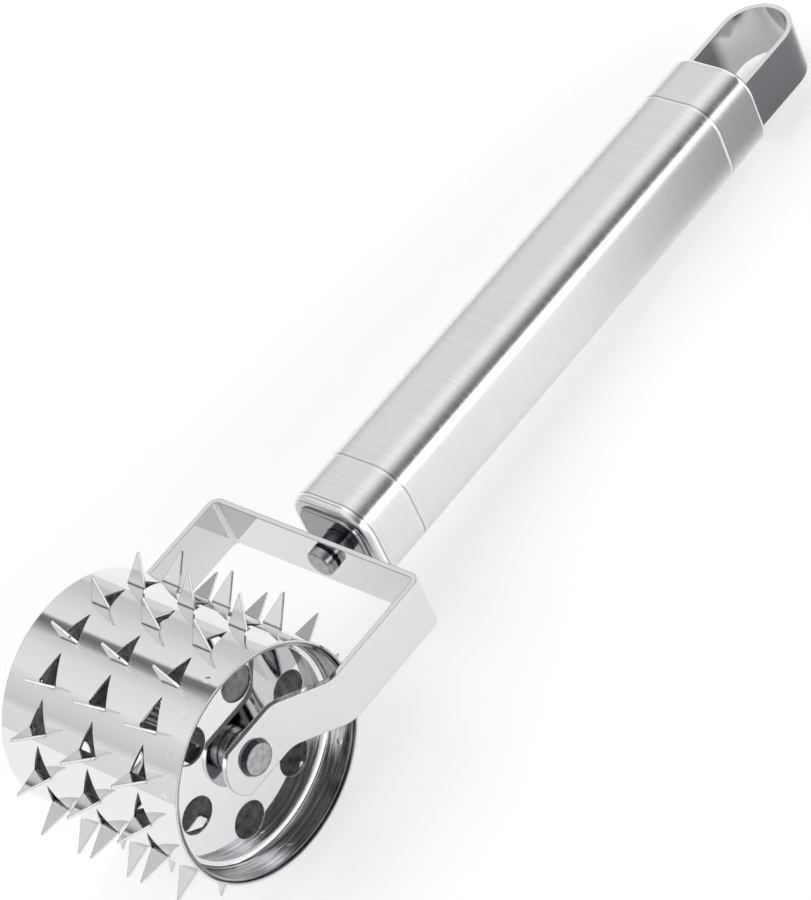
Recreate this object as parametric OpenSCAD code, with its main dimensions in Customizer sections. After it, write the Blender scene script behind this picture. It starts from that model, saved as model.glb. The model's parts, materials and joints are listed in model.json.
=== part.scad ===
// Rolling meat tenderizer: a toothed sheet drum that turns in a bent yoke, bolted to a hollow handle.
// Every piece is built round the handle's own axes: X runs along the handle from the drum's axle to the
// hanging loop, Y runs along the axle, and Z points up. The last step sets it down on a flat table.

/* [Drum] */
// Outer radius of the drum
drum_r = 26; // [22:0.5:34]
// Length of the drum along its axle
drum_len = 51.4; // [46:0.2:64]
// Thickness of the drum's rolled sheet
drum_wall = 0.6; // [0.4:0.05:1]

/* [Teeth] */
// Number of rows of teeth round the drum
tooth_rows = 16; // [10:1:18]
// Number of teeth in a row
teeth_per_row = 3; // [1:1:3]
// Distance between two teeth of a row
tooth_pitch = 14.8; // [8:0.2:17]
// Height of a tooth above the drum
tooth_h = 7.3; // [4:0.1:8]
// Width of a tooth at its fold
tooth_w = 5; // [3:0.1:6.5]
// Width that is left at a tooth's point
tooth_tip_w = 0.2; // [0.1:0.05:0.5]
// Turn of the first row of teeth from the handle's axis, in degrees
tooth_phase = 56; // [0:0.5:90]

/* [Drum ends] */
// Thickness of the pressed end cups
cup_wall = 0.7; // [0.5:0.05:1]
// Distance from the drum's edge to the end cup's edge
cup_edge_inset = 0.5; // [0:0.1:1.5]
// Radius of the visible corner between the cup's flange and its face
cup_corner_r = 1.5; // [0.8:0.1:3]
// Number of round holes in each end
cup_holes = 6; // [3:1:7]
// Radius of the round holes
cup_hole_r = 4.2; // [2.5:0.1:5]
// Radius of the circle that the holes lie on
cup_hole_ring_r = 16.2; // [13.5:0.1:17.5]
// Turn of the first hole from the handle's axis, in degrees
cup_hole_phase = 6.9; // [0:0.1:60]
// Length of the drawn collar that runs on the axle
collar_len = 2; // [1:0.1:4]
// Wall of the drawn collar
collar_wall = 0.7; // [0.5:0.05:1]

/* [Axle] */
// Radius of the axle rod
axle_r = 2.5; // [2:0.1:3.5]
// Radius of a riveted head where it meets the yoke
rivet_r = 4.1; // [3.8:0.1:5]
// Radius of a riveted head at the edge of its crown
rivet_crown_r = 3.7; // [2.6:0.1:3.7]
// Height of a riveted head's tapered side
rivet_side_h = 1.2; // [0.8:0.1:1.6]
// Height of the low dome on a riveted head
rivet_dome_h = 0.4; // [0.2:0.05:0.8]
// Outer radius of the spacer rings on the axle
spacer_r = 5; // [4.2:0.1:7]
// Length of a spacer ring
spacer_len = 2.2; // [1.5:0.1:4]

/* [Yoke] */
// Thickness of the yoke's strip
strip_t = 1.2; // [0.8:0.1:2]
// Height of the strip
strip_h = 13.1; // [11:0.1:13.9]
// Radius of an arm's round end, about the axle
eye_r = 8.2; // [7:0.1:9]
// Gap between the drum's edge and an arm
arm_gap = 3.3; // [2:0.1:8]
// Distance that an eye's outer face lies inside the drum's edge
eye_inset = 3.9; // [2.5:0.1:6]
// Gap between the tips of the teeth and the bridge
bridge_gap = 14.9; // [11:0.1:25]
// Distance from the axle to the near end of an arm's step
step_start = 9.2; // [8:0.1:12]
// Distance from the axle to the far end of an arm's step
step_end = 19.5; // [18:0.1:25]
// Inside radius of the two square bends at the bridge
corner_bend_r = 1.2; // [0.6:0.1:4]
// Inside radius of the bends at an arm's step
step_bend_r = 5; // [4.7:0.1:5.3]

/* [Bolt] */
// Radius of the bolt's shank
bolt_r = 2; // [1.5:0.1:2.5]
// Radius of the bolt's round head
bolt_head_r = 3.4; // [3:0.1:4]
// Height of the bolt's head
bolt_head_h = 2.1; // [1.5:0.1:3]
// Radius of the rounded edge of the bolt's head
bolt_head_round_r = 0.6; // [0.3:0.1:0.9]
// Length of the shank from its head to its end
bolt_len = 11; // [9:0.5:13]
// Distance of the bolt from the middle of the bridge towards the near arm
bolt_aside = 2.1; // [0:0.1:2.5]
// Distance of the bolt above the middle of the bridge
bolt_up = 1.9; // [0:0.1:2]
// Outer radius of the split lock washer
lock_washer_r = 3.1; // [2.8:0.1:4]
// Thickness of the split lock washer
lock_washer_t = 0.5; // [0.4:0.1:1]
// Width of the split in the lock washer
lock_washer_split = 0.6; // [0.3:0.1:1]

/* [Handle] */
// Width of the handle across its flats
handle_w = 22.4; // [20:0.2:28]
// Radius of the handle's long edges
handle_edge_r = 7.2; // [5:0.1:9]
// Thickness of the handle's wall
handle_wall = 0.9; // [0.7:0.1:1.4]
// Gap between the bridge and the handle's rim
rim_gap = 4.4; // [2:0.1:8]
// Length of the front ferrule
ferrule_len = 13.4; // [11:0.2:25]
// Length of the tube between the two seams
tube_len = 115; // [80:1:160]
// Length of the rear cap
cap_len = 14.4; // [12:0.2:25]
// Width of the ferrule's rim, which is turned in round the plug
rim_lip = 2.4; // [1.8:0.1:3.4]
// Radius of the rounded edge of the front ferrule
rim_round_r = 1.5; // [0.5:0.1:1.8]
// Radius of the rounded edge of the rear cap
cap_round_r = 2.2; // [1:0.1:3]
// Width of the fine groove at each seam
seam_w = 0.3; // [0.1:0.05:0.6]
// Depth of the fine groove at each seam
seam_depth = 0.2; // [0.1:0.05:0.3]
// Wall of the sleeves inside the seams
sleeve_wall = 0.8; // [0.5:0.1:1.2]
// Length of a sleeve to each side of its seam
sleeve_reach = 8; // [4:0.5:9]

/* [Front plug and bush] */
// Distance that the plug stands out of the ferrule's rim
plug_proud = 0.8; // [0.2:0.1:1.5]
// Thickness of the plug's plate
plug_t = 1.2; // [0.8:0.1:2]
// Radius of the plug's rounded edge
plug_round_r = 0.6; // [0.3:0.05:0.7]
// Outer radius of the threaded bush
bush_r = 3.4; // [3:0.1:4.5]
// Length of the threaded bush behind the plug
bush_tail = 6; // [4:0.5:8]

/* [Hanging loop] */
// Thickness of the loop's strip
loop_t = 1.2; // [0.8:0.1:2]
// Width of the loop's strip
loop_w = 13.4; // [9:0.2:14]
// Distance that the loop's sides lie inside the handle's flats
loop_inset = 2.1; // [1.5:0.1:3.5]
// Distance that the loop reaches past the rear cap
loop_reach = 24.4; // [18:0.2:40]

/* [Fits] */
// Running clearance round the axle, on the radius
run_fit = 0.05; // [0.02:0.01:0.1]
// End play between a spacer and the drum
end_play = 0.1; // [0.05:0.05:0.3]
// Clearance between pieces that are pushed together
push_fit = 0.05; // [0.02:0.01:0.1]

/* [Hidden] */
$fn = 96;

// One overrun for every cut
over = 1;

// Turn by which a bend laps into the runs beside it, in degrees
bend_lap = 0.5;

// Places along the axle, from the drum's middle outwards
cup_y = drum_len / 2 - eye_inset - strip_t - spacer_len - end_play;
eye_in_y = drum_len / 2 - eye_inset - strip_t;
eye_out_y = drum_len / 2 - eye_inset;
arm_out_y = drum_len / 2 + arm_gap + strip_t;

// Places along the handle, from the axle to the loop
tip_r = drum_r + tooth_h;
bridge_in_x = tip_r + bridge_gap;
bridge_out_x = bridge_in_x + strip_t;
rim_x = bridge_out_x + rim_gap;
seam_front_x = rim_x + ferrule_len;
seam_rear_x = seam_front_x + tube_len;
cap_end_x = seam_rear_x + cap_len;
loop_end_x = cap_end_x + loop_reach;
loop_r = handle_w / 2 - loop_inset;
loop_centre_x = loop_end_x - loop_r;
loop_leg_x = seam_rear_x + sleeve_reach + push_fit;
bolt_seat_x = bridge_in_x - lock_washer_t;
plug_out_x = rim_x - plug_proud;
plug_in_x = plug_out_x + plug_t;

// Sections of the handle and of what goes into it
bore_w = handle_w - 2 * handle_wall;
bore_edge_r = handle_edge_r - handle_wall;
sleeve_w = bore_w - 2 * push_fit;
sleeve_edge_r = bore_edge_r - push_fit;
mouth_w = handle_w - 2 * rim_lip;
mouth_edge_r = handle_edge_r - rim_lip;
plug_w = mouth_w - 2 * push_fit;
plug_edge_r = mouth_edge_r - push_fit;

// A tooth's fold covers half the sheet at the edge of its hole, and its root stays inside the sheet
fold_share = 0.5;
root_share = 0.8;
tooth_root = drum_wall * root_share;
hole_turn = tooth_h / drum_r * 180 / PI;
hole_half = drum_r * sin(hole_turn / 2);

// The points of the teeth's tips in the XZ plane, for setting the drum down on a table
tooth_turns = [for (i = [0 : tooth_rows - 1]) tooth_phase + 360 * i / tooth_rows];
tip_points = [for (a = tooth_turns, s = [0, drum_wall])
    [tip_r * cos(a) + s * sin(a), tip_r * sin(a) - s * cos(a)]];

// How far a point lies below the axle, and how far along the table, when the handle is tilted
function drop_of(p, tilt) = p[0] * sin(tilt) - p[1] * cos(tilt);
function along_of(p, tilt) = p[0] * cos(tilt) + p[1] * sin(tilt);
function drum_drop(tilt) = max([for (p = tip_points) drop_of(p, tilt)]);

// The tilt at which the lowest tooth and the rounded edge of the rear cap touch the same plane
cap_arm_x = cap_end_x - cap_round_r;
cap_arm_z = handle_w / 2 - cap_round_r;
cap_arm = norm([cap_arm_x, cap_arm_z]);
function tilt_for(drop) = asin((drop - cap_round_r) / cap_arm) - atan2(cap_arm_z, cap_arm_x);
function settle(tilt, steps) = steps == 0 ? tilt : settle(tilt_for(drum_drop(tilt)), steps - 1);
settle_steps = 6;
rest_tilt = settle(0, settle_steps);
axle_height = drum_drop(rest_tilt);
front_along = min([for (p = tip_points) along_of(p, rest_tilt)]);
rear_along = along_of([loop_end_x, loop_w / 2], rest_tilt);
middle_along = (front_along + rear_along) / 2;

// Sets a piece down from the handle's axes to the table
module set_down() {
    translate([-middle_along, 0, axle_height])
        rotate([0, rest_tilt, 0])
            children();
}

// Turns a piece from the handle's axis to an angle round the axle
module turn(angle) {
    rotate([0, -angle, 0])
        children();
}

// A cylinder along the axle, from y0 to y1
module axle_cylinder(r, y0, y1) {
    translate([0, y1, 0])
        rotate([90, 0, 0])
            cylinder(r = r, h = y1 - y0);
}

// A cylinder along the handle, from x0 to x1
module handle_cylinder(r, x0, x1) {
    translate([x0, 0, 0])
        rotate([0, 90, 0])
            cylinder(r = r, h = x1 - x0);
}

// A cylinder along the handle round the bolt's axis, from x0 to x1
module bolt_cylinder(r, x0, x1) {
    translate([0, -bolt_aside, bolt_up])
        handle_cylinder(r, x0, x1);
}

// A square with round corners
module round_square(w, r) {
    side = w - 2 * r;
    square([w, side], center = true);
    square([side, w], center = true);
    for (u = [-1, 1], v = [-1, 1])
        translate([u * side / 2, v * side / 2])
            circle(r = r);
}

// A bar of the handle's section from x0 to x1
module handle_bar(w, r, x0, x1) {
    translate([x0, 0, 0])
        rotate([90, 0, 90])
            linear_extrude(x1 - x0)
                round_square(w, r);
}

// A quarter of a disc, between the two positive axes
module quarter_disc(r) {
    intersection() {
        circle(r = r);
        square(r);
    }
}

// Half profile of a slab with a rounded upper edge: its reach across, its height up
module round_edge(reach, round_r) {
    square([reach - round_r, round_r]);
    translate([reach - round_r, 0])
        quarter_disc(round_r);
}

// The last slice of a bar of the handle's section, with its edge rounded, standing on the XY plane
module round_slice(w, r, round_r) {
    side = w - 2 * r;
    for (quarter = [0 : 3])
        rotate(90 * quarter) {
            rotate([90, 0, 0])
                linear_extrude(side, center = true)
                    round_edge(w / 2, round_r);
            translate([side / 2, side / 2, 0])
                rotate_extrude(angle = 90)
                    round_edge(r, round_r);
        }
}

// A bar of the handle's section from x0 to x1, with its edge at x1 rounded
module round_ended_bar(w, r, round_r, x0, x1) {
    handle_bar(w, r, x0, x1 - round_r);
    translate([x1 - round_r, 0, 0])
        rotate([90, 0, 90])
            round_slice(w, r, round_r);
}

// One straight run of a bent strip, between two points of its middle line
module strip_run(a, b, thick) {
    translate(a)
        rotate(atan2(b[1] - a[1], b[0] - a[0]))
            translate([0, -thick / 2])
                square([norm(b - a), thick]);
}

// One round bend of a bent strip, from the angle a0 to the angle a1 round its centre, with a small
// lap into the straight runs beside it
module strip_bend(centre, r, thick, a0, a1) {
    reach = 2 * (r + thick);
    b0 = a0 - bend_lap;
    b1 = a1 + bend_lap;
    translate(centre)
        intersection() {
            difference() {
                circle(r = r + thick / 2);
                circle(r = r - thick / 2);
            }
            polygon([[0, 0], reach * [cos(b0), sin(b0)], reach * [cos(b1), sin(b1)]]);
        }
}

// The hole that one tooth leaves in the sheet, round the angle zero
module tooth_hole() {
    turn(-hole_turn / 2)
        translate([drum_r - drum_wall - over, 0, 0])
            rotate([0, 90, 0])
                linear_extrude(drum_wall + 2 * over)
                    polygon([
                        [hole_half, 0],
                        [fold_share * drum_wall - hole_half, -tooth_w / 2],
                        [fold_share * drum_wall - hole_half, tooth_w / 2]]);
}

// One tooth, folded out of the sheet to stand square to it at the angle zero
module tooth() {
    translate([drum_r, 0, -drum_wall])
        linear_extrude(drum_wall)
            polygon([
                [-tooth_root, -tooth_w / 2],
                [0, -tooth_w / 2],
                [tooth_h, -tooth_tip_w / 2],
                [tooth_h, tooth_tip_w / 2],
                [0, tooth_w / 2],
                [-tooth_root, tooth_w / 2]]);
}

// Repeats a piece at every tooth of the drum
module at_teeth() {
    for (a = tooth_turns)
        turn(a)
            for (i = [0 : teeth_per_row - 1])
                translate([0, (i - (teeth_per_row - 1) / 2) * tooth_pitch, 0])
                    children();
}

// The rolled sheet of the drum, pierced and folded out into rows of teeth
module drum_shell() {
    color("silver")
        set_down() {
            difference() {
                axle_cylinder(drum_r, -drum_len / 2, drum_len / 2);
                axle_cylinder(drum_r - drum_wall, -drum_len / 2 - over, drum_len / 2 + over);
                at_teeth()
                    tooth_hole();
            }
            at_teeth()
                tooth();
        }
}

// Half section of an end cup: distance from the axle across, distance out of the drum's middle up
module cup_section() {
    flange_r = drum_r - drum_wall - push_fit;
    bend_out_r = cup_corner_r + cup_wall;
    back_y = cup_y - cup_wall;
    translate([flange_r - cup_wall, back_y + bend_out_r])
        square([cup_wall, drum_len / 2 - cup_edge_inset - back_y - bend_out_r]);
    translate([axle_r + run_fit, back_y])
        square([flange_r - bend_out_r - axle_r - run_fit, cup_wall]);
    translate([axle_r + run_fit, back_y - collar_len])
        square([collar_wall, collar_len + cup_wall]);
    translate([flange_r - bend_out_r, back_y + bend_out_r])
        intersection() {
            difference() {
                circle(r = bend_out_r);
                circle(r = cup_corner_r);
            }
            translate([0, -bend_out_r])
                square(bend_out_r);
        }
}

// A pressed end cup with its ring of round holes, at the drum's far end
module drum_end() {
    difference() {
        rotate([-90, 0, 0])
            rotate_extrude()
                cup_section();
        for (i = [0 : cup_holes - 1])
            turn(cup_hole_phase + 360 * i / cup_holes)
                translate([cup_hole_ring_r, 0, 0])
                    axle_cylinder(cup_hole_r, cup_y - cup_wall - over, cup_y + over);
    }
}

module drum_end_near() {
    color("lightgray")
        set_down()
            mirror([0, 1, 0])
                drum_end();
}

module drum_end_far() {
    color("lightgray")
        set_down()
            drum_end();
}

// A riveted head at the far end of the axle: a tapered side under a low dome
module rivet_head() {
    dome_r = (pow(rivet_crown_r, 2) + pow(rivet_dome_h, 2)) / (2 * rivet_dome_h);
    translate([0, eye_out_y, 0])
        rotate([-90, 0, 0]) {
            cylinder(r1 = rivet_r, r2 = rivet_crown_r, h = rivet_side_h);
            intersection() {
                cylinder(r = rivet_crown_r, h = rivet_side_h + rivet_dome_h);
                translate([0, 0, rivet_side_h + rivet_dome_h - dome_r])
                    sphere(r = dome_r);
            }
        }
}

// The plain rod that the drum turns on, with a riveted head at each end
module axle() {
    color("gray")
        set_down() {
            axle_cylinder(axle_r, -eye_out_y - rivet_side_h / 2, eye_out_y + rivet_side_h / 2);
            rivet_head();
            mirror([0, 1, 0])
                rivet_head();
        }
}

// A ring on the axle that keeps the far end of the drum off the yoke's eye
module spacer() {
    difference() {
        axle_cylinder(spacer_r, eye_in_y - spacer_len, eye_in_y);
        axle_cylinder(axle_r + push_fit, eye_in_y - spacer_len - over, eye_in_y + over);
    }
}

module spacer_near() {
    color("darkgray")
        set_down()
            mirror([0, 1, 0])
                spacer();
}

module spacer_far() {
    color("darkgray")
        set_down()
            spacer();
}

// Plan of half of the yoke's strip, from the middle of the bridge to the far eye
module yoke_plan() {
    arm_y = arm_out_y - strip_t / 2;
    eye_y = eye_out_y - strip_t / 2;
    bridge_x = bridge_out_x - strip_t / 2;
    corner_r = corner_bend_r + strip_t / 2;
    bend_r = step_bend_r + strip_t / 2;
    step_turn = atan2(arm_y - eye_y, step_end - step_start);
    bend_run = bend_r * tan(step_turn / 2);
    step_way = [cos(step_turn), sin(step_turn)];
    strip_run([bridge_x, 0], [bridge_x, arm_y - corner_r], strip_t);
    strip_bend([bridge_x - corner_r, arm_y - corner_r], corner_r, strip_t, 0, 90);
    strip_run([bridge_x - corner_r, arm_y], [step_end + bend_run, arm_y], strip_t);
    strip_bend([step_end + bend_run, arm_y - bend_r], bend_r, strip_t, 90, 90 + step_turn);
    strip_run([step_end, arm_y] - bend_run * step_way, [step_start, eye_y] + bend_run * step_way, strip_t);
    strip_bend([step_start - bend_run, eye_y + bend_r], bend_r, strip_t, -90, step_turn - 90);
    strip_run([step_start - bend_run, eye_y], [0, eye_y], strip_t);
}

// The round end of the far arm, from the axle outwards
module yoke_end() {
    intersection() {
        axle_cylinder(eye_r, eye_in_y, eye_out_y);
        translate([-eye_r, eye_in_y, -strip_h / 2])
            cube([eye_r, strip_t, strip_h]);
    }
}

// The yoke: one strip bent square at the bridge, stepped in at each arm, with a round end on each
module yoke() {
    color("lightsteelblue")
        set_down()
            difference() {
                union() {
                    linear_extrude(strip_h, center = true) {
                        yoke_plan();
                        mirror([0, 1])
                            yoke_plan();
                    }
                    yoke_end();
                    mirror([0, 1, 0])
                        yoke_end();
                }
                axle_cylinder(axle_r + push_fit, -eye_out_y - over, eye_out_y + over);
                bolt_cylinder(bolt_r + push_fit, bridge_in_x - over, bridge_out_x + over);
            }
}

// Half section of the bolt's head: distance from its axis across, distance from its seat up
module bolt_head_section() {
    square([bolt_head_r, bolt_head_h - bolt_head_round_r]);
    square([bolt_head_r - bolt_head_round_r, bolt_head_h]);
    translate([bolt_head_r - bolt_head_round_r, bolt_head_h - bolt_head_round_r])
        quarter_disc(bolt_head_round_r);
}

// The bolt that holds the yoke to the handle, with its round head inside the yoke
module yoke_bolt() {
    color("dimgray")
        set_down() {
            bolt_cylinder(bolt_r, bolt_seat_x - bolt_head_h / 2, bolt_seat_x + bolt_len);
            translate([bolt_seat_x, -bolt_aside, bolt_up])
                rotate([0, -90, 0])
                    rotate_extrude()
                        bolt_head_section();
        }
}

// The split spring washer under the bolt's head
module bolt_lock_washer() {
    color("slategray")
        set_down()
            difference() {
                bolt_cylinder(lock_washer_r, bolt_seat_x, bridge_in_x);
                bolt_cylinder(bolt_r + push_fit, bolt_seat_x - over, bridge_in_x + over);
                translate([bolt_seat_x - over, -bolt_aside - lock_washer_split / 2, bolt_up - lock_washer_r])
                    cube([lock_washer_t + 2 * over, lock_washer_split, lock_washer_r]);
            }
}

// The bush that is welded into the plug, seats on the bridge and takes the bolt
module threaded_bush() {
    color("darkslategray")
        set_down()
            difference() {
                bolt_cylinder(bush_r, bridge_out_x, plug_in_x + bush_tail);
                bolt_cylinder(bolt_r, bridge_out_x - over, plug_in_x + bush_tail + over);
            }
}

// The plate that closes the mouth of the ferrule round the bush
module front_plug() {
    color("dimgray")
        set_down()
            difference() {
                mirror([1, 0, 0])
                    round_ended_bar(plug_w, plug_edge_r, plug_round_r, -plug_in_x, -plug_out_x);
                bolt_cylinder(bush_r + push_fit, plug_out_x - over, plug_in_x + over);
            }
}

// The short ferrule at the front of the handle, with its rim turned in round the plug
module front_ferrule() {
    color("gainsboro")
        set_down()
            difference() {
                union() {
                    mirror([1, 0, 0])
                        round_ended_bar(handle_w, handle_edge_r, rim_round_r, seam_w - seam_front_x, -rim_x);
                    handle_bar(handle_w - 2 * seam_depth, handle_edge_r - seam_depth,
                        seam_front_x - 2 * seam_w, seam_front_x);
                }
                handle_bar(bore_w, bore_edge_r, rim_x + plug_t, seam_front_x + over);
                handle_bar(mouth_w, mouth_edge_r, rim_x - over, rim_x + plug_t + over);
            }
}

// A sleeve that joins two pieces of the handle from inside, round the seam at x
module seam_sleeve(x) {
    difference() {
        handle_bar(sleeve_w, sleeve_edge_r, x - sleeve_reach, x + sleeve_reach);
        handle_bar(sleeve_w - 2 * sleeve_wall, sleeve_edge_r - sleeve_wall, x - sleeve_reach - over,
            x + sleeve_reach + over);
    }
}

module front_sleeve() {
    color("darkgray")
        set_down()
            seam_sleeve(seam_front_x);
}

module rear_sleeve() {
    color("darkgray")
        set_down()
            seam_sleeve(seam_rear_x);
}

// The long tube of the handle
module handle_tube() {
    color("silver")
        set_down()
            difference() {
                handle_bar(handle_w, handle_edge_r, seam_front_x, seam_rear_x);
                handle_bar(bore_w, bore_edge_r, seam_front_x - over, seam_rear_x + over);
            }
}

// Plan of the hanging loop: two straight legs and a half round end
module loop_plan() {
    for (v = [-1, 1])
        translate([loop_leg_x, v * (loop_r - loop_t / 2) - loop_t / 2])
            square([loop_centre_x - loop_leg_x, loop_t]);
    translate([loop_centre_x, 0])
        intersection() {
            difference() {
                circle(r = loop_r);
                circle(r = loop_r - loop_t);
            }
            translate([0, -loop_r])
                square([loop_r, 2 * loop_r]);
        }
}

// The pressed cap at the rear of the handle, slotted for the legs of the loop
module rear_cap() {
    color("gainsboro")
        set_down()
            difference() {
                union() {
                    round_ended_bar(handle_w, handle_edge_r, cap_round_r, seam_rear_x + seam_w, cap_end_x);
                    handle_bar(handle_w - 2 * seam_depth, handle_edge_r - seam_depth, seam_rear_x,
                        seam_rear_x + 2 * seam_w);
                }
                handle_bar(bore_w, bore_edge_r, seam_rear_x - over, cap_end_x - cap_round_r);
                for (v = [-1, 1])
                    translate([loop_leg_x, v * (loop_r - loop_t / 2), 0])
                        rotate([90, 0, 90])
                            linear_extrude(cap_end_x - loop_leg_x + over)
                                square([loop_t + 2 * push_fit, loop_w + 2 * push_fit], center = true);
            }
}

// The bent strip that the tenderizer hangs from
module hanging_loop() {
    color("silver")
        set_down()
            linear_extrude(loop_w, center = true)
                loop_plan();
}

drum_shell();
drum_end_near();
drum_end_far();
axle();
spacer_near();
spacer_far();
yoke();
yoke_bolt();
bolt_lock_washer();
threaded_bush();
front_plug();
front_ferrule();
front_sleeve();
handle_tube();
rear_sleeve();
rear_cap();
hanging_loop();
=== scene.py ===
"""Looks of the rolling meat tenderizer: steel finishes, fine trim, floor, light and camera."""
import json
import math

import bpy
from mathutils import Matrix, Vector

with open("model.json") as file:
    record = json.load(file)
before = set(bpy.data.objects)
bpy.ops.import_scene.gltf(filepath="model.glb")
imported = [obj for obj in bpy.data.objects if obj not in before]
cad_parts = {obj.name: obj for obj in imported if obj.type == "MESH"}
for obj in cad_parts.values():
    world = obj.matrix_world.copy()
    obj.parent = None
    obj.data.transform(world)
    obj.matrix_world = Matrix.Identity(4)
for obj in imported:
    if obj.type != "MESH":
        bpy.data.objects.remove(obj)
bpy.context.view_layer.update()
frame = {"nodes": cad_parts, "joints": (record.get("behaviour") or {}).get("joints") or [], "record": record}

MM = 0.001

# The photograph's width, in pixels
PHOTO_WIDTH = 811

# The camera against the handle's own axes: place, heading, pitch, roll, focal length and clipping
CAMERA_PLACE_MM = (-271.0, -544.8, 577.0)
CAMERA_HEADING_DEG = 57.29
CAMERA_PITCH_DEG = -41.57
CAMERA_ROLL_DEG = -26.02
CAMERA_FOCAL_PX = 4062
CAMERA_CLIP_M = (0.05, 20)
SENSOR_MM = 36

# The studio's brightness by the angle round the handle's length, from the far horizon at
# 0 degrees over the top to the near horizon at 180
STUDIO_PEAK = 2.4
STUDIO_ROUND = (
    (0, 0.82), (18, 0.83), (42, 0.94), (60, 1.05), (88, 1.05), (104, 0.74), (118, 0.36),
    (132, 0.16), (146, 0.16), (150, 2.0), (156, 2.4), (166, 1.9), (174, 1.4), (181, 1.05))

# The far half's brightness by the angle from the loop's side over the top to the drum's side,
# and how far to the far side a direction points where this starts and is full
FAR_SIDE = (
    (0, 1.0), (9, 0.98), (13, 0.80), (30, 0.82), (50, 0.93), (63, 0.94), (66, 0.24), (71, 0.18),
    (77, 0.42), (84, 0.74), (94, 0.88), (118, 0.98), (126, 0.88), (150, 0.78), (157, 1.02),
    (180, 1.02))
FAR_START = (0.25, 0.5)

# The angle that both lists of brightness are laid out on
STUDIO_SPAN_DEG = 184

# The directions to the left, across the dark gap in front, where the studio is white again
GAP_END = (-0.88, -0.62)

# How much lighter the dark gap in front grows towards the loop's side, and over which directions
GAP_LIFT = 0.16
GAP_LIFT_START = (0.1, 0.6)

# The floor's width, its white, and the little light of its own that lifts it to the
# background's white
FLOOR_SIZE_M = 6
FLOOR_GREY = 0.93
FLOOR_LIFT = 0.29

# The drum's radius, and the ring of weld marks that joins its near end to its sheet
DRUM_R_MM = 26
WELD_COUNT = 19
WELD_PHASE_DEG = 6.8
WELD_PLACE_MM = -22.2
WELD_R_MM = 0.9
WELD_FLAT_SHARE = 0.3
WELD_DEPTH_MM = 0.035

# Where the drum's sheet and its end cups turn their unpolished insides to the light; there the steel is
# painted darker as shade
SHEET_INSIDE_R_MM = 25.7
FACE_INSIDE_MM = 17.9
FLANGE_FROM_MM = 18.6
FLANGE_SOFT_MM = 1.2

# The drum's tones, dark and light, and its roughness, low and high: polished outside, drawn on the
# flanges, dull in the hollow, with the flanges and the hollow painted darker as shade
DRUM_OUTSIDE_TONES = (0.7857, 0.81)
DRUM_FLANGE_SHADE_TONES = (0.18, 0.486)
DRUM_HOLLOW_SHADE_TONES = (0.2, 0.6)
DRUM_OUTSIDE_ROUGHNESS = (0.03, 0.07)
DRUM_FLANGE_ROUGHNESS = (0.12, 0.24)
DRUM_HOLLOW_ROUGHNESS = (0.3, 0.45)

# The lines round the handle, at its front rim, its two seams and its rear rim: their places,
# the painted highlight at each and the dark line beside it
SEAMS_MM = (55.25, 67.05, 182.35, 195.2)
SEAM_HIGHLIGHT_MM = 0.36
SEAM_HIGHLIGHT_TONE = 0.98
SEAM_DARK_MM = 0.78
SEAM_DARK_TONE = 0.3
SEAM_DARK_SHARE = 0.7
SEAM_SOFT_MM = 0.1

# Painted shade on the handle's near side, from dark to light across it, and from light to dark along
# and up it, with the share of the shade that is left at its lower edge
DARK_SIDE_MM = (-11, -8.8)
DARK_REAR_MM = (115, 196)
DARK_LOW_MM = (-8, -2)
DARK_LOW_SHARE = 0.25

# The loop's sides carry painted shade and its round end is lighter: where its tone turns, and over how much
LOOP_TURN_MM = 212
LOOP_TURN_SLANT = 0.6
LOOP_TURN_SOFT_MM = 2.5

# How upright the loop's sheared edges stand, where they take a painted highlight
LOOP_SHEARED = (0.8, 0.95)

# The painted shade on the rivet heads' rim: where it starts and is full, and its tone
RIVET_RIM_MM = (3.35, 3.6)
RIVET_RIM_SHADE_TONE = 0.1

# Steel's trace of blue
BLUE_TRACE = 0.012

# The samples of the nodes that feel for edges and crevices
NEARBY_SAMPLES = 6

# How far a rounded normal agrees with the flat one, from well on an edge to off it
EDGE_TURN = (0.8, 0.985)

# Painted shade in crevices: how far it reaches, how open they are from dark to clear, and its tone
CREVICE_REACH_MM = 0.7
CREVICE_OPEN = (0.45, 0.85)
CREVICE_SHADE_TONE = 0.03

# The span that most of a noise's values fall in, and a narrower one for more contrast
WIDE = (0.3, 0.7)
NARROW = (0.35, 0.65)

# Noise textures: how the handle's coordinates are stretched, and the scale, detail and roughness
TEXTURES = {
    "polish": ((1, 6, 1), 900, 3, 0.6),
    "stains": ((1, 1, 1), 90, 4, 0.6),
    "loop_stains": ((1, 1, 1), 120, 4, 0.6),
    "waves": ((1, 1, 1), 60, 1, 0.5),
    "drawing": ((1, 14, 1), 90, 3, 0.6),
    "grains": ((1, 1, 1), 400, 4, 0.7),
    "brushing": ((90, 1, 1), 60, 4, 0.7),
    "brush_bands": ((30, 1, 1), 60, 4, 0.75),
    "brush_relief": ((60, 1, 1), 60, 1, 0.5),
    "pits": ((1, 1, 1), 700, 4, 0.65),
}

# The depths of the fine relief, and the unit of the drum's, which sums up several
WAVE_MM = 0.006
DRAWING_MM = 0.05
BRUSH_MM = 0.001
PIT_MM = 0.03
DRUM_HEIGHT_MM = 1


def handle_axes():
    """The handle's own axes at rest: from the axle along the handle, along the axle, and up."""
    joint = frame["joints"][0]
    loop = next(m for m in frame["record"]["mounts"] if m["name"] == "hanging_loop")
    up = Vector(loop["axis"]).normalized()
    across = Vector(joint["axis"]).normalized()
    along = across.cross(up)
    axes = Matrix((along, across, up)).transposed().to_4x4()
    axes.translation = Vector(joint["pos_m"])
    return axes


HANDLE = handle_axes()
HANDLE_UP = HANDLE.to_3x3() @ Vector((0, 0, 1))


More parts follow.
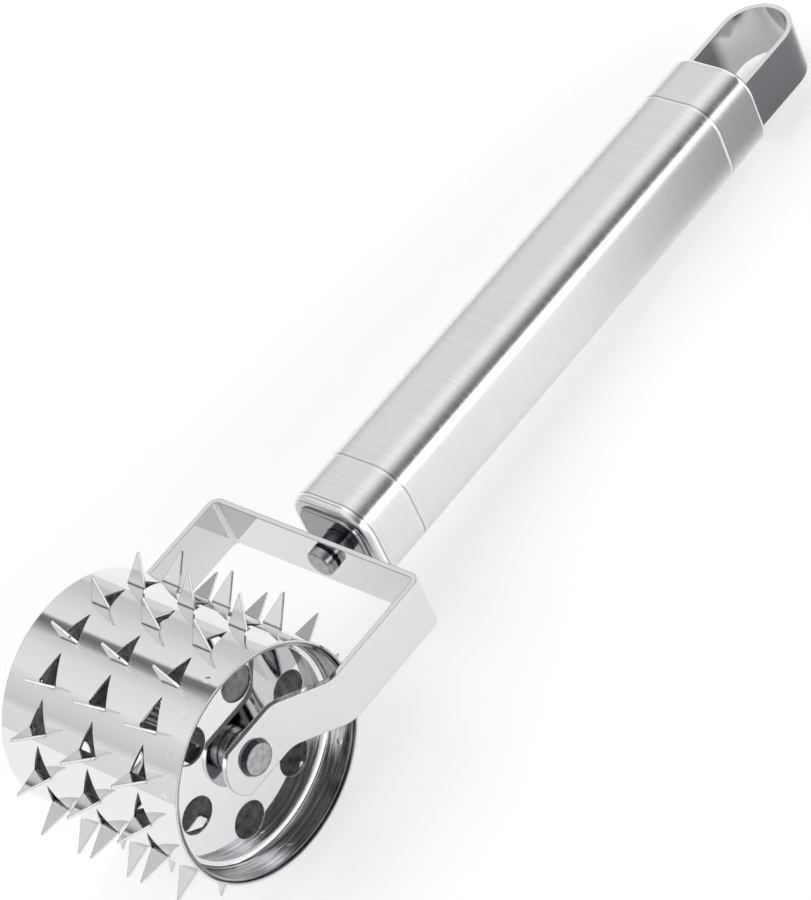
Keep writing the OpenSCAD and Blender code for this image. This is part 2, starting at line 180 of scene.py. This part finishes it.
def make_camera():
    """The camera at the photograph's place, set out from the handle's own axes."""
    heading = math.radians(CAMERA_HEADING_DEG)
    pitch = math.radians(CAMERA_PITCH_DEG)
    roll = math.radians(CAMERA_ROLL_DEG)
    forward = Vector((
        math.cos(pitch) * math.cos(heading),
        math.cos(pitch) * math.sin(heading),
        math.sin(pitch)))
    level = forward.cross(Vector((0, 0, 1))).normalized()
    right = math.cos(roll) * level + math.sin(roll) * level.cross(forward)
    up = right.cross(forward)
    local = Matrix((right, up, -forward)).transposed().to_4x4()
    local.translation = Vector(CAMERA_PLACE_MM) * MM
    data = bpy.data.cameras.new("camera")
    data.sensor_fit = "HORIZONTAL"
    data.sensor_width = SENSOR_MM
    data.lens = CAMERA_FOCAL_PX / PHOTO_WIDTH * SENSOR_MM
    data.clip_start, data.clip_end = CAMERA_CLIP_M
    camera = bpy.data.objects.new("camera", data)
    camera.matrix_world = HANDLE @ local
    bpy.context.scene.collection.objects.link(camera)
    bpy.context.scene.camera = camera


# Node helpers

def in_metres(pair_mm):
    """A pair of sizes in metres."""
    return tuple(size * MM for size in pair_mm)


def feed(tree, socket, value):
    """Sets a socket to a value, or links another socket to it."""
    if isinstance(value, bpy.types.NodeSocket):
        tree.links.new(value, socket)
    else:
        socket.default_value = value


def math_node(tree, operation, first, *others):
    """The result of an operation on one value or socket, or on several from the first on."""
    result = first
    for other in others or (0,):
        node = tree.nodes.new("ShaderNodeMath")
        node.operation = operation
        feed(tree, node.inputs[0], result)
        feed(tree, node.inputs[1], other)
        result = node.outputs["Value"]
    return result


def length(tree, a, b):
    """The length of two parts at right angles."""
    squares = [math_node(tree, "POWER", part, 2) for part in (a, b)]
    return math_node(tree, "SQRT", math_node(tree, "ADD", *squares))


def dot(tree, a, b):
    """How far two directions agree."""
    node = tree.nodes.new("ShaderNodeVectorMath")
    node.operation = "DOT_PRODUCT"
    feed(tree, node.inputs[0], a)
    feed(tree, node.inputs[1], b)
    return node.outputs["Value"]


def split(tree, vector):
    """The three parts of a vector."""
    node = tree.nodes.new("ShaderNodeSeparateXYZ")
    feed(tree, node.inputs["Vector"], vector)
    return node.outputs["X"], node.outputs["Y"], node.outputs["Z"]


def ranged(tree, value, to, span=WIDE, smooth=False):
    """A value moved from a span to another."""
    node = tree.nodes.new("ShaderNodeMapRange")
    node.interpolation_type = "SMOOTHSTEP" if smooth else "LINEAR"
    ends = ("From Min", "From Max", "To Min", "To Max")
    for end, place in zip(ends, (*span, *to)):
        feed(tree, node.inputs[end], place)
    feed(tree, node.inputs["Value"], value)
    return node.outputs["Result"]


def ramp(tree, value, stops, span, peak=1.0):
    """A brightness that follows stops along a span, held down to the peak."""
    node = tree.nodes.new("ShaderNodeValToRGB")
    elements = node.color_ramp.elements
    while len(elements) < len(stops):
        elements.new(1.0)
    for element, (place, brightness) in zip(elements, stops):
        element.position = place / span
        element.color = (*[brightness / peak] * 3, 1)
    feed(tree, node.inputs["Fac"], math_node(tree, "DIVIDE", value, span))
    return math_node(tree, "MULTIPLY", node.outputs["Color"], peak)


def angle_of(tree, across, up):
    """The angle of a direction from across to up, in degrees from 0 to 180."""
    turn = math_node(tree, "ARCTAN2", up, across)
    return math_node(tree, "ABSOLUTE", math_node(tree, "MULTIPLY", turn, math.degrees(1)))


def mixed(tree, share, a, b):
    """Two colours or two values mixed by a share."""
    node = tree.nodes.new("ShaderNodeMix")
    node.data_type = "RGBA"
    for name, value in (("Factor", share), ("A", a), ("B", b)):
        feed(tree, node.inputs[name], value)
    return node.outputs["Result"]


def grey(value):
    """A steel grey, with a trace of blue."""
    return value, value, value + BLUE_TRACE, 1


# Parts of materials

def new_material(name):
    """A node material, with its node tree and shader."""
    material = bpy.data.materials.new(name)
    material.use_nodes = True
    tree = material.node_tree
    return material, tree, tree.nodes["Principled BSDF"]


def handle_coords(tree):
    """Coordinates in the handle's own axes, in metres, that move with the piece."""
    coords = tree.nodes.new("ShaderNodeTexCoord")
    mapping = tree.nodes.new("ShaderNodeMapping")
    mapping.vector_type = "TEXTURE"
    mapping.inputs["Location"].default_value = HANDLE.translation
    mapping.inputs["Rotation"].default_value = HANDLE.to_euler()
    feed(tree, mapping.inputs["Vector"], coords.outputs["Object"])
    return mapping.outputs["Vector"]


def new_metal(name):
    """A metal's material, with its node tree, its shader and the handle's coordinates."""
    material, tree, shader = new_material(name)
    shader.inputs["Metallic"].default_value = 1
    return material, tree, shader, handle_coords(tree)


def texture(tree, place, name):
    """The value of one of the noise textures."""
    stretch, scale, detail, roughness = TEXTURES[name]
    mapping = tree.nodes.new("ShaderNodeMapping")
    mapping.inputs["Scale"].default_value = stretch
    feed(tree, mapping.inputs["Vector"], place)
    node = tree.nodes.new("ShaderNodeTexNoise")
    node.inputs["Scale"].default_value = scale
    node.inputs["Detail"].default_value = detail
    node.inputs["Roughness"].default_value = roughness
    feed(tree, node.inputs["Vector"], mapping.outputs["Vector"])
    return node.outputs["Fac"]


def flat_normal(tree):
    """The surface's own normal."""
    return tree.nodes.new("ShaderNodeNewGeometry").outputs["Normal"]


def rounded(tree, edge_mm):
    """The surface's normal, with every edge rounded off."""
    bevel = tree.nodes.new("ShaderNodeBevel")
    bevel.samples = NEARBY_SAMPLES
    bevel.inputs["Radius"].default_value = edge_mm * MM
    return bevel.outputs["Normal"]


def edge_share(tree, normal):
    """How near a place is to an edge, from the turn of its rounded normal."""
    return ranged(tree, dot(tree, normal, flat_normal(tree)), (1, 0), EDGE_TURN)


def crevice_shade_share(tree):
    """How deep a place lies in a crevice between two surfaces, for painted shade."""
    node = tree.nodes.new("ShaderNodeAmbientOcclusion")
    node.samples = NEARBY_SAMPLES
    node.inputs["Distance"].default_value = CREVICE_REACH_MM * MM
    return ranged(tree, node.outputs["AO"], (1, 0), CREVICE_OPEN)


def painted_edges_and_crevices(tree, colour, normal, painted_edge_tone):
    """A colour with painted dark edges, standing in for their reflection, and painted shade in crevices."""
    # Painted dark reflection on the edges, then painted shade in the crevices
    colour = mixed(tree, edge_share(tree, normal), colour, grey(painted_edge_tone))
    return mixed(tree, crevice_shade_share(tree), colour, grey(CREVICE_SHADE_TONE))


def toned(tree, share, tones):
    """A grey between a dark and a light tone."""
    return mixed(tree, share, grey(tones[0]), grey(tones[1]))


def mottled(tree, value, tones, span=NARROW):
    """A grey between a dark and a light tone, by a texture's value."""
    return toned(tree, ranged(tree, value, (0, 1), span), tones)


def finish(tree, shader, colour, roughness, height, depth_mm, normal):
    """Joins a colour, a roughness and a fine relief to the shader."""
    bump = tree.nodes.new("ShaderNodeBump")
    bump.inputs["Distance"].default_value = depth_mm * MM
    feed(tree, bump.inputs["Height"], height)
    feed(tree, bump.inputs["Normal"], normal)
    feed(tree, shader.inputs["Base Color"], colour)
    feed(tree, shader.inputs["Roughness"], roughness)
    feed(tree, shader.inputs["Normal"], bump.outputs["Normal"])


def weld_marks(tree, place):
    """The height of a ring of small round weld marks near the drum's near end."""
    x, y, z = split(tree, place)
    turn = math_node(tree, "ARCTAN2", z, x)
    steps = math_node(tree, "MULTIPLY", turn, WELD_COUNT / (2 * math.pi))
    phase = WELD_COUNT - WELD_PHASE_DEG * WELD_COUNT / 360
    part = math_node(tree, "FRACT", math_node(tree, "ADD", steps, phase))
    spacing = 2 * math.pi * DRUM_R_MM * MM / WELD_COUNT
    round_way = math_node(tree, "MULTIPLY", math_node(tree, "SUBTRACT", part, 0.5), spacing)
    along = math_node(tree, "SUBTRACT", y, WELD_PLACE_MM * MM)
    reach = in_metres((WELD_FLAT_SHARE * WELD_R_MM, WELD_R_MM))
    return ranged(tree, length(tree, round_way, along), (0, 1), reach, smooth=True)


def drum_insides(tree, place):
    """Where the drum is unpolished and painted darker as shade, on the flanges and in the hollow, and where
    in the hollow.
    """
    x, y, z = split(tree, place)
    out = math_node(tree, "ABSOLUTE", y)
    in_sheet = math_node(tree, "LESS_THAN", length(tree, x, z), SHEET_INSIDE_R_MM * MM)
    in_cup = math_node(tree, "LESS_THAN", out, FACE_INSIDE_MM * MM)
    flange = in_metres((FLANGE_FROM_MM, FLANGE_FROM_MM + FLANGE_SOFT_MM))
    on_flange = ranged(tree, out, (0, 1), flange, smooth=True)
    places = (math_node(tree, "MAXIMUM", in_cup, on_flange), in_cup)
    return [math_node(tree, "MULTIPLY", in_sheet, dull) for dull in places]


def seam_lines(tree, place, colour):
    """A colour with a painted highlight at each seam and rim and a dark line beside it."""
    along = split(tree, place)[0]
    away = math_node(tree, "SUBTRACT", along, SEAMS_MM[0] * MM)
    for seam in SEAMS_MM[1:]:
        off = math_node(tree, "SUBTRACT", along, seam * MM)
        reaches = [math_node(tree, "ABSOLUTE", way) for way in (off, away)]
        away = mixed(tree, math_node(tree, "LESS_THAN", *reaches), away, off)
    reach = math_node(tree, "ABSOLUTE", away)
    bright_span, dark_span = (
        in_metres((width - SEAM_SOFT_MM, width)) for width in (SEAM_HIGHLIGHT_MM, SEAM_DARK_MM))
    # A painted highlight along each seam and rim
    bright = ranged(tree, reach, (1, 0), bright_span)
    beside = ranged(tree, reach, (SEAM_DARK_SHARE, 0), dark_span)
    dark = math_node(tree, "MULTIPLY", beside, math_node(tree, "GREATER_THAN", away, 0))
    lined = mixed(tree, dark, colour, grey(SEAM_DARK_TONE))
    return mixed(tree, bright, lined, grey(SEAM_HIGHLIGHT_TONE))


def near_side_painted_shade(tree, place):
    """How much painted shade the handle's near side takes: more towards its rear, and less at its lower
    edge.
    """
    x, y, z = split(tree, place)
    side = ranged(tree, y, (1, 0), in_metres(DARK_SIDE_MM), smooth=True)
    rear = ranged(tree, x, (0, 1), in_metres(DARK_REAR_MM), smooth=True)
    high = ranged(tree, z, (DARK_LOW_SHARE, 1), in_metres(DARK_LOW_MM), smooth=True)
    return math_node(tree, "MULTIPLY", side, rear, high)


def loop_end(tree, place):
    """How far a place is on the loop's round end, and not on its sides."""
    x, y, _ = split(tree, place)
    slanted = math_node(tree, "ADD", x, math_node(tree, "MULTIPLY", y, LOOP_TURN_SLANT))
    turn = in_metres((LOOP_TURN_MM - LOOP_TURN_SOFT_MM, LOOP_TURN_MM + LOOP_TURN_SOFT_MM))
    return ranged(tree, slanted, (0, 1), turn, smooth=True)


def rim_share(tree, place, rim_mm):
    """How far a place is on a rim round the axle's line."""
    x, _, z = split(tree, place)
    return ranged(tree, length(tree, x, z), (0, 1), in_metres(rim_mm), smooth=True)


# Materials. Their tones are dark and light, and their roughness is low and high

def polished_steel(name, tones, edge_mm, painted_edge_tone, roughness=(0.04, 0.09)):
    """Mirror polished sheet: faint polishing marks, small stains, slow waves, painted dark edges and painted
    crevice shade.
    """
    material, tree, shader, place = new_metal(name)
    normal = rounded(tree, edge_mm)
    colour = painted_edges_and_crevices(tree, toned(tree, texture(tree, place, "stains"), tones), normal, painted_edge_tone)
    polish = ranged(tree, texture(tree, place, "polish"), roughness)
    finish(tree, shader, colour, polish, texture(tree, place, "waves"), WAVE_MM, normal)
    return material


def drum_tones(tree, place, inside, hollow, drawing, grains):
    """The drum's greys: stained outside, drawn rings on the flanges, grains in the hollow, both painted
    darker as shade.
    """
    outside = toned(tree, texture(tree, place, "stains"), DRUM_OUTSIDE_TONES)
    drawn = mottled(tree, drawing, DRUM_FLANGE_SHADE_TONES)
    dull = mottled(tree, grains, DRUM_HOLLOW_SHADE_TONES)
    return mixed(tree, inside, outside, mixed(tree, hollow, drawn, dull))


def drum_roughness(tree, place, inside, hollow, drawing, grains):
    """The drum's roughness: polished outside, satin on the flanges, dull in the hollow."""
    polish = ranged(tree, texture(tree, place, "polish"), DRUM_OUTSIDE_ROUGHNESS)
    satin = ranged(tree, drawing, DRUM_FLANGE_ROUGHNESS)
    dull = ranged(tree, grains, DRUM_HOLLOW_ROUGHNESS)
    change = math_node(tree, "SUBTRACT", mixed(tree, hollow, satin, dull), polish)
    return math_node(tree, "ADD", polish, math_node(tree, "MULTIPLY", change, inside))


def drum_height(tree, place, inside, drawing):
    """The drum's fine relief: slow waves, drawn rings inside and weld marks."""
    waves = math_node(tree, "MULTIPLY", texture(tree, place, "waves"), WAVE_MM)
    rings = math_node(tree, "MULTIPLY", drawing, inside, DRAWING_MM)
    welds = math_node(tree, "MULTIPLY", weld_marks(tree, place), WELD_DEPTH_MM)
    return math_node(tree, "ADD", waves, rings, welds)


def drum_steel(name, edge_mm=0.24, painted_edge_tone=0.04):
    """The drum's steel: polished outside, with weld marks, drawn dull inside and painted darker there as
    shade, with painted dark edges and painted crevice shade.
    """
    material, tree, shader, place = new_metal(name)
    normal = rounded(tree, edge_mm)
    inside, hollow = drum_insides(tree, place)
    drawing = texture(tree, place, "drawing")
    grains = texture(tree, place, "grains")
    colour = drum_tones(tree, place, inside, hollow, drawing, grains)
    roughness = drum_roughness(tree, place, inside, hollow, drawing, grains)
    height = drum_height(tree, place, inside, drawing)
    colour = painted_edges_and_crevices(tree, colour, normal, painted_edge_tone)
    finish(tree, shader, colour, roughness, height, DRUM_HEIGHT_MM, normal)
    return material


def satin_steel(name, tones=(0.73005, 0.8007), side_shade_tone=0.32, roughness=(0.14, 0.27),
                edge_mm=0.22):
    """Satin steel, brushed round the handle in fine lines, with painted shade on the near side of its rear
    and painted highlights at its seams and rims.
    """
    material, tree, shader, place = new_metal(name)
    brushed = mottled(tree, texture(tree, place, "brushing"), tones, WIDE)
    # Painted shade on the near side of the handle's rear
    brushed = mixed(tree, near_side_painted_shade(tree, place), brushed, grey(side_shade_tone))
    colour = seam_lines(tree, place, brushed)
    bands = ranged(tree, texture(tree, place, "brush_bands"), roughness, NARROW)
    relief = texture(tree, place, "brush_relief")
    finish(tree, shader, colour, bands, relief, BRUSH_MM, rounded(tree, edge_mm))
    return material


def loop_steel(name, tones=(0.6072, 0.66), side_shade_tone=0.17, sheared_highlight_tone=0.82, painted_edge_tone=0.5,
               roughness=(0.1, 0.2), edge_mm=0.16):
    """The hanging loop's strip: painted shade on its sides, a lighter round end, painted highlights on its
    sheared edges and painted tones on its rounded edges.
    """
    material, tree, shader, place = new_metal(name)
    stains = texture(tree, place, "loop_stains")
    normal = rounded(tree, edge_mm)
    # Painted shade on the loop's sides, lighter on its round end
    faces = mixed(tree, loop_end(tree, place), grey(side_shade_tone), toned(tree, stains, tones))
    upright = math_node(tree, "ABSOLUTE", dot(tree, flat_normal(tree), HANDLE_UP))
    sheared = ranged(tree, upright, (0, 1), LOOP_SHEARED)
    # A painted highlight on the sheared edges
    colour = mixed(tree, sheared, faces, grey(sheared_highlight_tone))
    colour = mixed(tree, edge_share(tree, normal), colour, grey(painted_edge_tone))
    dull = ranged(tree, stains, roughness)
    finish(tree, shader, colour, dull, texture(tree, place, "waves"), WAVE_MM, normal)
    return material


def plain_steel(name, tones, roughness, painted_edge_tone, rim_mm=None, edge_mm=0.2):
    """Hardware steel with a slightly uneven surface, with painted shade on a rim where one is given, painted
    dark edges and painted crevice shade.
    """
    material, tree, shader, place = new_metal(name)
    pits = texture(tree, place, "pits")
    normal = rounded(tree, edge_mm)
    colour = mottled(tree, pits, tones)
    if rim_mm:
        # Painted shade on the rivet head's rim
        colour = mixed(tree, rim_share(tree, place, rim_mm), colour, grey(RIVET_RIM_SHADE_TONE))
    colour = painted_edges_and_crevices(tree, colour, normal, painted_edge_tone)
    finish(tree, shader, colour, ranged(tree, pits, roughness), pits, PIT_MM, normal)
    return material


def dress_all():
    """One finish for each node."""
    finishes = (
        (drum_steel("drum_steel"), ("drum_shell", "drum_end_near", "drum_end_far")),
        (polished_steel("yoke_steel", tones=(0.7275, 0.75), edge_mm=0.3, painted_edge_tone=0.04),
         ("yoke",)),
        # The plug's low tones are painted shade
        (polished_steel("plug_shaded_steel", tones=(0.388, 0.4), edge_mm=0.22, painted_edge_tone=0.1),
         ("front_plug",)),
        (satin_steel("satin_steel"), ("front_ferrule", "handle_tube", "rear_cap")),
        (loop_steel("loop_steel"), ("hanging_loop",)),
        (plain_steel("rivet_steel", tones=(0.3, 0.5), roughness=(0.22, 0.36), painted_edge_tone=0.03,
                     rim_mm=RIVET_RIM_MM), ("axle",)),
        (plain_steel("plain_steel", tones=(0.31, 0.62), roughness=(0.22, 0.36), painted_edge_tone=0.12),
         ("spacer_near", "spacer_far", "front_sleeve", "rear_sleeve")),
        (plain_steel("bolt_steel", tones=(0.264, 0.44), roughness=(0.14, 0.28), painted_edge_tone=0.04),
         ("yoke_bolt",)),
        # The lock washer and the bush are painted near black as shade
        (plain_steel("dark_steel", tones=(0.05, 0.1), roughness=(0.1, 0.2), painted_edge_tone=0.04),
         ("bolt_lock_washer", "threaded_bush")),
    )
    for material, nodes in finishes:
        for node in nodes:
            materials = frame["nodes"][node].data.materials
            materials.clear()
            materials.append(material)


# Stage

def make_floor():
    """A plain white floor, wide enough to fill the camera's view."""
    bpy.ops.mesh.primitive_plane_add(size=FLOOR_SIZE_M, location=(0, 0, 0))
    floor = bpy.context.object
    floor.name = "floor"
    material, tree, shader = new_material("floor_white")
    shader.inputs["Base Color"].default_value = (FLOOR_GREY, FLOOR_GREY, FLOOR_GREY, 1)
    shader.inputs["Roughness"].default_value = 1
    shader.inputs["Specular IOR Level"].default_value = 0
    shader.inputs["Emission Color"].default_value = (1, 1, 1, 1)
    rays = tree.nodes.new("ShaderNodeLightPath").outputs
    names = ("Is Camera Ray", "Is Glossy Ray", "Is Transmission Ray")
    seen = math_node(tree, "MAXIMUM", *[rays[name] for name in names])
    strength = math_node(tree, "MULTIPLY", seen, FLOOR_LIFT)
    feed(tree, shader.inputs["Emission Strength"], strength)
    floor.data.materials.append(material)


def make_world():
    """The studio all round: white walls, a long bright window low in front, dark gaps between."""
    world = bpy.data.worlds.new("studio")
    bpy.context.scene.world = world
    world.use_nodes = True
    tree = world.node_tree
    coords = tree.nodes.new("ShaderNodeTexCoord")
    x, y, z = split(tree, coords.outputs["Generated"])
    round_handle = ramp(tree, angle_of(tree, y, z), STUDIO_ROUND, STUDIO_SPAN_DEG, STUDIO_PEAK)
    white_left = ranged(tree, x, (1, 0), GAP_END, smooth=True)
    lift = ranged(tree, x, (0, GAP_LIFT), GAP_LIFT_START, smooth=True)
    near = math_node(tree, "MAXIMUM", round_handle, math_node(tree, "MAXIMUM", white_left, lift))
    far = ramp(tree, angle_of(tree, x, z), FAR_SIDE, STUDIO_SPAN_DEG)
    far_share = ranged(tree, y, (0, 1), FAR_START, smooth=True)
    change = math_node(tree, "MULTIPLY", far_share, math_node(tree, "SUBTRACT", far, 1))
    light = math_node(tree, "MULTIPLY", near, math_node(tree, "ADD", change, 1))
    background = tree.nodes["Background"]
    background.inputs["Color"].default_value = (1, 1, 1, 1)
    feed(tree, background.inputs["Strength"], light)


make_camera()
make_world()
make_floor()
dress_all()

bpy.context.scene.view_settings.view_transform = "Standard"
